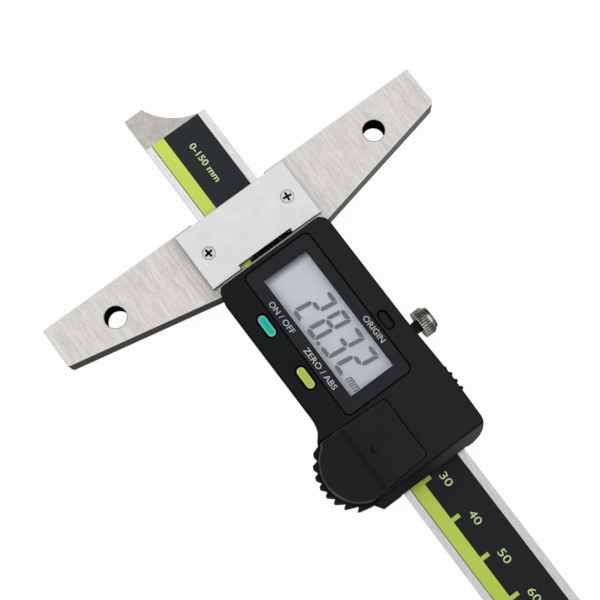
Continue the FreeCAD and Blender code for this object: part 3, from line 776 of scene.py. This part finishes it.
def panel_finish():
    material, tree, shader = new_material("lcd_grey_reflector", Specular_IOR_Level=0.1)
    grain = use_group(tree, fine_grain, Size=9000.0)
    place = object_place(tree)
    # Painted shadow along the panel's end at the top of the window, painted shade along its +X side and a
    # painted highlight along its -X edge.
    top_edge_shadow = ramp(tree, place[1], -22.9 * mm, -21.3 * mm)
    side_edge_shade = ramp(tree, place[0], 5.0 * mm, 6.1 * mm)
    left_edge_highlight = ramp(tree, place[0], -4.95 * mm, -4.8 * mm, 1.0, 0.0)
    along = ramp(tree, place[1], -52 * mm, -22 * mm)
    cool = blend(tree, grain["Cloud"], (166, 170, 173), (173, 177, 180))
    warm = blend(tree, grain["Cloud"], (156, 159, 164), (163, 166, 171))
    body = blend(tree, along, warm, cool)
    body = blend(tree, times(tree, side_edge_shade, 0.35), body, (122, 124, 132))
    body = blend(tree, times(tree, top_edge_shadow, 0.85), body, (52, 54, 58))
    body = blend(tree, times(tree, left_edge_highlight, 0.7), body, (226, 226, 232))
    surface(tree, shader, body, (0.6, 0.5), grain["Grain"], 0.05, 0.01 * mm)
    return material


dress("lcd_window", window_finish())
dress("lcd_panel", panel_finish())
panel_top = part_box("lcd_panel")[1].z

# Corners in millimetres: along the reading from a figure's first stroke, and up from its foot.
segment_rings = {
    "a": [(-0.36, 8.22), (0.12, 8.67), (2.42, 8.67), (1.86, 7.74), (0.28, 7.74)],
    "b": [(2.6, 8.62), (2.85, 8.4), (2.97, 7.95), (2.97, 4.95), (2.55, 4.58), (2.03, 5.1), (2.03, 7.75)],
    "c": [(2.55, 4.22), (2.97, 3.75), (3.05, 0.6), (2.95, 0.0), (2.68, -0.33), (2.13, 0.8), (2.03, 3.7)],
    "d": [(-0.15, 0.1), (0.37, -0.45), (2.42, -0.45), (2.5, -0.3), (2.0, 0.47), (0.45, 0.47)],
    "e": [(-0.05, 4.22), (0.47, 3.7), (0.55, 0.75), (-0.35, 0.35), (-0.47, 0.7), (-0.47, 3.75)],
    "f": [(-0.4, 7.95), (0.42, 7.4), (0.42, 5.15), (-0.08, 4.58), (-0.5, 5.0), (-0.5, 7.6)],
    "g": [(0.1, 4.4), (0.6, 4.86), (1.95, 4.86), (2.4, 4.4), (1.9, 3.94), (0.55, 3.94)]}
lit = {"2": "abged", "8": "abcdefg", "3": "abgcd"}
letter_m = [(0, 0), (0, 1.52), (1.42, 1.52), (1.54, 1.4), (1.54, 0), (1.22, 0), (1.22, 1.2), (0.93, 1.2),
            (0.93, 0), (0.61, 0), (0.61, 1.2), (0.32, 1.2), (0.32, 0)]
reading_x, reading_y = -3.675 * mm, -30.3 * mm
digit_pitch = 4.91
slant = 1.0 / 6.8
point_u, point_w, point_radius = 8.72, -0.1, 0.47
unit_starts, unit_drop = (18.35, 20.1), -0.27


def figures(name, material, low, thick, shift):
    """The reading as seven-segment figures with their mitred corners, then the point and the unit."""
    shape = bmesh.new()

    def place(u, w):
        """u runs along the reading from its first figure, w is the height above the lowest stroke."""
        return (reading_x + w * mm + shift[0], reading_y - (u + w * slant) * mm + shift[1])

    outlines = []
    for number, digit in enumerate("2832"):
        for segment in lit[digit]:
            outlines.append([(number * digit_pitch + u, w) for u, w in segment_rings[segment]])
    turns = [-math.pi * i / 6 for i in range(12)]
    outlines.append([(point_u + point_radius * math.cos(t), point_w + point_radius * math.sin(t))
                     for t in turns])
    outlines += [[(start + u, w + unit_drop) for u, w in letter_m] for start in unit_starts]
    for outline in outlines:
        block(shape, [place(u, w) for u, w in outline], low, low + thick)
    piece = closed_piece(name, shape, material)
    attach(piece, "gauge")


segment_ink = ink("lcd_segment", (70, 74, 89), 0.4)
segment_shade = ink("lcd_segment_shadow", (158, 160, 172), 0.55)
figures("lcd_figures", segment_ink, panel_top + 0.035 * mm, 0.02 * mm, (0.0, 0.0))
figures("lcd_figure_shadows", segment_shade, panel_top + 0.005 * mm, 0.01 * mm, (-0.22 * mm, -0.28 * mm))

# Parts inside the housing: the panel's frame, its elastomer strip, the boards, the chip, the
# rubber domes and the data socket.
dress("lcd_holder", moulded("holder_white_abs", (214, 214, 210), 0.5, 6000.0))
dress("zebra_strip", moulded("zebra_rubber", (92, 92, 96), 0.6, 6000.0))
dress("processor_chip", moulded("chip_epoxy", (30, 31, 34), 0.45, 9000.0))
board = moulded("board_solder_mask", (28, 92, 56), 0.35, 5000.0, specular=0.5)
dress("circuit_board", board)
dress("sensor_board", board)
pad_rubber = moulded("pad_rubber_grey", (88, 90, 92), 0.65, 6000.0)
dress("button_pad_left", pad_rubber)
dress("button_pad_right", pad_rubber)
dress("output_connector", moulded("socket_black", (28, 28, 30), 0.45, 7000.0))


# Buttons: three moulded caps with softly rounded tops in their wells. The upper left one is
# teal, the lower left one lime and the right one black and flush.
def cap(name, node, material, place, length, width, foot):
    """A stadium-shaped cap: straight walls, a rounded shoulder and a slightly crowned top."""
    x, y, top = place
    shoulder, crown = 0.34 * mm, 0.1 * mm
    rings = [(0.0, foot), (0.0, top - crown - shoulder)]
    for step in range(1, 6):
        turn = math.pi / 2 * step / 5
        rings.append((shoulder * (1 - math.cos(turn)), top - crown - shoulder * (1 - math.sin(turn))))
    left = width / 2 - shoulder
    rings += [(shoulder + left * 0.3, top - crown * 0.5), (shoulder + left * 0.65, top - crown * 0.12),
              (shoulder + left * 0.92, top)]
    shape = bmesh.new()
    loops = []
    corners = 24
    for inset, z in rings:
        radius = width / 2 - inset
        half = length / 2 - width / 2
        loop = []
        for i in range(corners):
            turn = 2 * math.pi * (i + 0.5) / corners
            side = half if math.sin(turn) > 0 else -half
            loop.append(shape.verts.new((x + radius * math.cos(turn), y + side + radius * math.sin(turn),
                                         z)))
        loops.append(loop)
    skin(shape, loops)
    shape.faces.new(loops[-1]).smooth = True
    shape.faces.new(loops[0][::-1])
    piece = closed_piece(name, shape, material)
    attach(piece, node)
    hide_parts(node)


def pale_shoulder(shade, share):
    """The rounded shoulder of a cap, painted paler than its top as a highlight."""
    def trim(tree):
        tilt = add(tree, "ShaderNodeSeparateXYZ", {0: add(tree, "ShaderNodeTexCoord").outputs["Normal"]})
        # Painted highlight on the shoulder.
        rising = ramp(tree, tilt.outputs[2], 0.3, 0.6, 0.0, share)
        falling = ramp(tree, tilt.outputs[2], 0.86, 0.985, 1.0, 0.0)
        return ((times(tree, rising, falling), shade),)
    return trim


cap_foot = 10.2 * mm
cap("on_off_cap", "on_off_button", moulded("button_teal", (22, 176, 156), 0.4, 7000.0, specular=0.15,
                                           trim=pale_shoulder((150, 232, 218), 0.85)),
    (-10.4 * mm, -29.6 * mm, 12.85 * mm), 5.25 * mm, 1.9 * mm, cap_foot)
cap("zero_cap", "zero_button", moulded("button_lime", (168, 190, 82), 0.4, 7000.0, specular=0.15,
                                       trim=pale_shoulder((214, 232, 146), 0.85)),
    (-10.4 * mm, -43.5 * mm, 12.85 * mm), 5.25 * mm, 1.9 * mm, cap_foot)
cap("origin_cap", "origin_button", moulded("button_black", (27, 28, 28), 0.42, 7000.0, specular=0.1,
                                           trim=pale_shoulder((52, 54, 54), 0.6)),
    (10.7 * mm, -43.7 * mm, 12.25 * mm), 4.35 * mm, 1.85 * mm, cap_foot)


# Battery lid: the black moulded lid that slides off sideways over the battery. Its top is flat
# by the display and slopes down towards the round outer end, with a rounded rim all round and
# a small raised triangle that shows which way it opens.
lid_bend_x = -11.0 * mm


def lid_height(x):
    """Height of the lid's top: level near the display, then a straight slope after a soft bend."""
    level, fall, soft = 12.8 * mm, 0.058, 1.2 * mm
    past = lid_bend_x - x
    if past < -soft:
        return level
    if past > soft:
        return level - past * fall
    return level - fall * (past + soft) ** 2 / (4 * soft)


def arc_points(centre, radius, start, end, count):
    return [(centre[0] + radius * math.cos(start + (end - start) * i / count),
             centre[1] + radius * math.sin(start + (end - start) * i / count)) for i in range(count + 1)]


def lid_outline():
    cx, cy, r = -11.8, -64.4, 8.65
    start = math.atan2(-57.17 - cy, -16.55 - cx)
    end = math.atan2(-72.76 - cy, -14.0 - cx) + 2 * math.pi
    points = [(-0.65 - (14.85 / 6) * i, -56.9 + (0.65 / 6) * i) for i in range(1, 6)]
    points += [(-15.5, -56.25), (-15.9, -56.28), (-16.15, -56.4), (-16.38, -56.7)]
    points += arc_points((cx, cy), r, start, end, 34)
    points += [(-14.0 + (13.35 / 6) * i, -72.76 + (1.01 / 6) * i) for i in range(1, 6)]
    points += [(-0.65, -71.75), (-0.2, -71.66), (0.06, -71.45), (0.28, -71.15), (0.35, -70.75)]
    points += [(0.35, -70.75 + (12.85 / 6) * i) for i in range(1, 6)]
    points += [(0.35, -57.9), (0.28, -57.5), (0.06, -57.2), (-0.2, -56.98), (-0.65, -56.9)]
    return [(x * mm, y * mm) for x, y in points]


def inward(points, index):
    """Unit vector into the outline at one of its points; the outline runs anticlockwise."""
    before, after = points[index - 1], points[(index + 1) % len(points)]
    dx, dy = after[0] - before[0], after[1] - before[1]
    size = math.hypot(dx, dy)
    return -dy / size, dx / size


def battery_lid_shell(material):
    outline = lid_outline()
    count = len(outline)
    middle = (-9.6 * mm, -64.3 * mm)
    lean = [inward(outline, i) for i in range(count)]
    rim = 0.42 * mm
    shape = bmesh.new()
    loops = [[shape.verts.new((x, y, 11.75 * mm)) for x, y in outline]]
    for step in range(0, 6):
        turn = math.pi / 2 * step / 5
        inset, drop = rim * (1 - math.cos(turn)), rim * (1 - math.sin(turn))
        loop = []
        for (x, y), (nx, ny) in zip(outline, lean):
            px, py = x + nx * inset, y + ny * inset
            loop.append(shape.verts.new((px, py, lid_height(px) - drop)))
        loops.append(loop)
    last = [(v.co.x, v.co.y) for v in loops[-1]]
    for share in (0.1, 0.22, 0.36, 0.5, 0.64, 0.78, 0.9):
        loop = []
        for x, y in last:
            px, py = x + (middle[0] - x) * share, y + (middle[1] - y) * share
            loop.append(shape.verts.new((px, py, lid_height(px))))
        loops.append(loop)
    peak = shape.verts.new((middle[0], middle[1], lid_height(middle[0])))
    skin(shape, loops)
    for i in range(count):
        shape.faces.new((loops[-1][i], loops[-1][(i + 1) % count], peak)).smooth = True
    shape.faces.new(loops[0][::-1])

    wall, skirt_low, skirt_high = 0.6 * mm, 8.75 * mm, 11.9 * mm
    section = ((0.0, skirt_low), (0.0, skirt_high), (wall, skirt_high), (wall, skirt_low))
    skirt = [[shape.verts.new((x + nx * inset, y + ny * inset, z)) for inset, z in section] for (x, y),
             (nx, ny) in zip(outline, lean) if x < -13.6 * mm]
    for near, far in zip(skirt, skirt[1:]):
        for i in range(4):
            side = shape.faces.new((near[i], far[i], far[i - 1], near[i - 1]))
            side.smooth = i % 2 == 1
    shape.faces.new(skirt[0])
    shape.faces.new(skirt[-1])
    arrow = [(-9.5, -64.3), (-7.85, -65.75), (-7.85, -62.85)]
    arrow_x, arrow_y, taper = -8.4, -64.3, 0.12
    crest = [(x + (arrow_x - x) * taper, y + (arrow_y - y) * taper) for x, y in arrow]
    low_ring, top_ring = ([(x * mm, y * mm) for x, y in ring] for ring in (arrow, crest))
    block(shape, low_ring, 12.7 * mm, 12.87 * mm, top=top_ring)
    piece = closed_piece("battery_lid_shell", shape, material)
    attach(piece, "battery_lid")
    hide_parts("battery_lid")


def lid_lines(tree):
    """Painted light and shade: a shade line at the crease between flat and slope, the flat part painted
    lighter as light, the rim painted pale as a broken highlight, and the small triangle painted dark on top
    with a painted highlight on its sides and painted shade on its back side.
    """
    place = object_place(tree)
    facing = use_group(tree, face_direction)
    off = math_node(tree, "ABSOLUTE", math_node(tree, "SUBTRACT", place[0], lid_bend_x))
    # Painted shade at the crease, painted light on the flat part and a painted highlight on the rim.
    crease_shade = times(tree, ramp(tree, off, 0.1 * mm, 0.75 * mm, 0.75, 0.0), facing["Level"])
    outer = ramp(tree, place[0], -12 * mm, -9 * mm, 0.85, 0.3)
    rim = times(tree, facing["Sloped"], outer)
    arrow = ramp(tree, place[2], 12.803 * mm, 12.812 * mm)
    back = ramp(tree, place[0], -8.2 * mm, -8.0 * mm)
    tilted = ramp(tree, facing["Level"], 0.0, 1.0, 1.0, 0.0)
    side = times(tree, arrow, tilted)
    rim = times(tree, rim, ramp(tree, use_group(tree, fine_grain, Size=9000.0)["Cloud"], 0.42, 0.56, 0.35,
                                1.0))
    flat = times(tree, facing["Level"], ramp(tree, place[0], lid_bend_x, -7 * mm, 0.0, 0.5))
    return ((flat, (33, 34, 35)), (crease_shade, (9, 10, 10)), (rim, (74, 76, 77)), (arrow, (9, 10, 10)),
            (side, (64, 66, 66)), (times(tree, side, back), (7, 7, 7)))


battery_lid_shell(moulded("lid_black_grained", (24, 25, 26), 0.46, 5200.0, specular=0.08, bump=0.22,
                          edge_radius=0.1 * mm, edge_lift=1.8, trim=lid_lines))

# Output cover: the black moulded cover that clips over the data socket on the right side. Its
# four ribs for the fingertip stand a little proud of the housing, the first one less.
dress("output_cover", moulded("cover_black_grained", (20, 21, 22), 0.5, 5200.0, specular=0.08, bump=0.22,
                              edge_radius=0.1 * mm, edge_lift=2.6))


def ribs_tree(material):
    tree, given, result = node_group(
        "Grip ribs", "GeometryNodeTree",
        [("Seats", "Geometry", None), ("Rise", "Float", 0.98 * mm), ("Foot", "Float", 1.48 * mm),
         ("Crest", "Float", 0.28 * mm), ("Length", "Float", 6.98 * mm)], [("Geometry", "Geometry")])
    size = add(tree, "ShaderNodeCombineXYZ", {0: given["Rise"], 1: given["Foot"], 2: given["Length"]})
    rib = add(tree, "GeometryNodeMeshCube", {"Size": size.outputs[0]}).outputs[0]
    spot = add(tree, "ShaderNodeSeparateXYZ",
               {0: add(tree, "GeometryNodeInputPosition").outputs[0]}).outputs
    share = math_node(tree, "DIVIDE", given["Crest"], given["Foot"])
    slim = add(tree, "ShaderNodeCombineXYZ", {0: spot[0], 1: times(tree, spot[1], share), 2: spot[2]})
    outer = math_node(tree, "GREATER_THAN", spot[0], 0.0)
    rib = add(tree, "GeometryNodeSetPosition",
              {"Geometry": rib, "Position": slim.outputs[0], "Selection": outer})
    copies(tree, result, given["Seats"], rib.outputs[0], material)
    return tree


grip_black = moulded("grip_black_grained", (20, 21, 22), 0.5, 5200.0, specular=0.08, bump=0.22)
rib_seats = [(x * mm, y * mm, 8.29 * mm)
             for x, y in ((14.35, -59.4), (14.61, -61.05), (14.61, -62.85), (14.61, -64.75))]
grips = run_tree(ribs_tree(grip_black), "output_cover_grips", {"Crest": 0.6 * mm}, rib_seats)
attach(grips, "output_cover")


# Studio: a plain white floor that still takes the object's soft shadow, two large soft lamps,
# an even white surround, and the camera of the photograph.
def seen_plainly(tree):
    """1 for what the camera sees, itself or in metal and glass, and 0 for light on the object."""
    seen = add(tree, "ShaderNodeLightPath").outputs
    mirrored = math_node(tree, "MAXIMUM", seen["Is Glossy Ray"], seen["Is Transmission Ray"])
    return math_node(tree, "MAXIMUM", seen["Is Camera Ray"], mirrored)


def studio_floor():
    half, under = 3.0, -0.05 * mm
    corners = [(-half, -half, under), (half, -half, under), (half, half, under), (-half, half, under)]
    mesh = bpy.data.meshes.new("studio_floor")
    mesh.from_pydata(corners, [], [(0, 1, 2, 3)])
    material = bpy.data.materials.new("floor_white")
    material.use_nodes = True
    tree = material.node_tree
    tree.nodes.clear()
    grain = use_group(tree, fine_grain, Size=400.0)
    matt = add(tree, "ShaderNodeBsdfDiffuse",
               {"Color": blend(tree, grain["Cloud"], (0.8, 0.8, 0.8, 1.0), (0.84, 0.84, 0.84, 1.0))})
    glow = add(tree, "ShaderNodeEmission", {"Color": (1.0, 1.0, 1.0, 1.0), "Strength": 1.0})
    share = seen_plainly(tree)
    either = add(tree, "ShaderNodeMixShader",
                 {0: times(tree, share, 0.96), 1: matt.outputs[0], 2: glow.outputs[0]})
    add(tree, "ShaderNodeOutputMaterial", {"Surface": either.outputs[0]})
    new_piece("studio_floor", mesh, material)


def lamp(name, place, size, power):
    light = bpy.data.lights.new(name, "AREA")
    light.shape = "SQUARE"
    light.size = size
    light.energy = power
    holder = bpy.data.objects.new(name, light)
    holder.location = place
    holder.rotation_mode = "QUATERNION"
    holder.rotation_quaternion = (-Vector(place)).to_track_quat("-Z", "Y")
    holder.visible_glossy = False
    bpy.context.scene.collection.objects.link(holder)


def surround():
    world = bpy.data.worlds.new("surround")
    world.use_nodes = True
    tree = world.node_tree
    share = seen_plainly(tree)
    back = tree.nodes["Background"]
    back.inputs["Color"].default_value = (1.0, 1.0, 1.0, 1.0)
    tree.links.new(ramp(tree, share, 0.0, 1.0, 0.55, 1.0), back.inputs["Strength"])
    bpy.context.scene.world = world


def photo_camera():
    camera = bpy.data.cameras.new("photo_camera")
    camera.sensor_width = 36.0
    camera.lens = 86.4
    camera.clip_start = 0.01
    camera.clip_end = 20.0
    holder = bpy.data.objects.new("photo_camera", camera)
    rows = ((0.803285, 0.588197, -0.093583), (-0.594902, 0.784804, -0.173708),
            (-0.02873, 0.19521, 0.980341))
    place = Matrix(rows).to_4x4()
    place.translation = Vector((-30.196, -82.760, 314.417)) * mm
    holder.matrix_world = place
    bpy.context.scene.collection.objects.link(holder)
    bpy.context.scene.camera = holder


studio_floor()
lamp("key_lamp", (-0.7, 0.5, 1.1), 0.9, 8.0)
lamp("fill_lamp", (0.8, -0.5, 1.0), 0.9, 4.0)
surround()
photo_camera()
bpy.context.scene.view_settings.view_transform = "Standard"
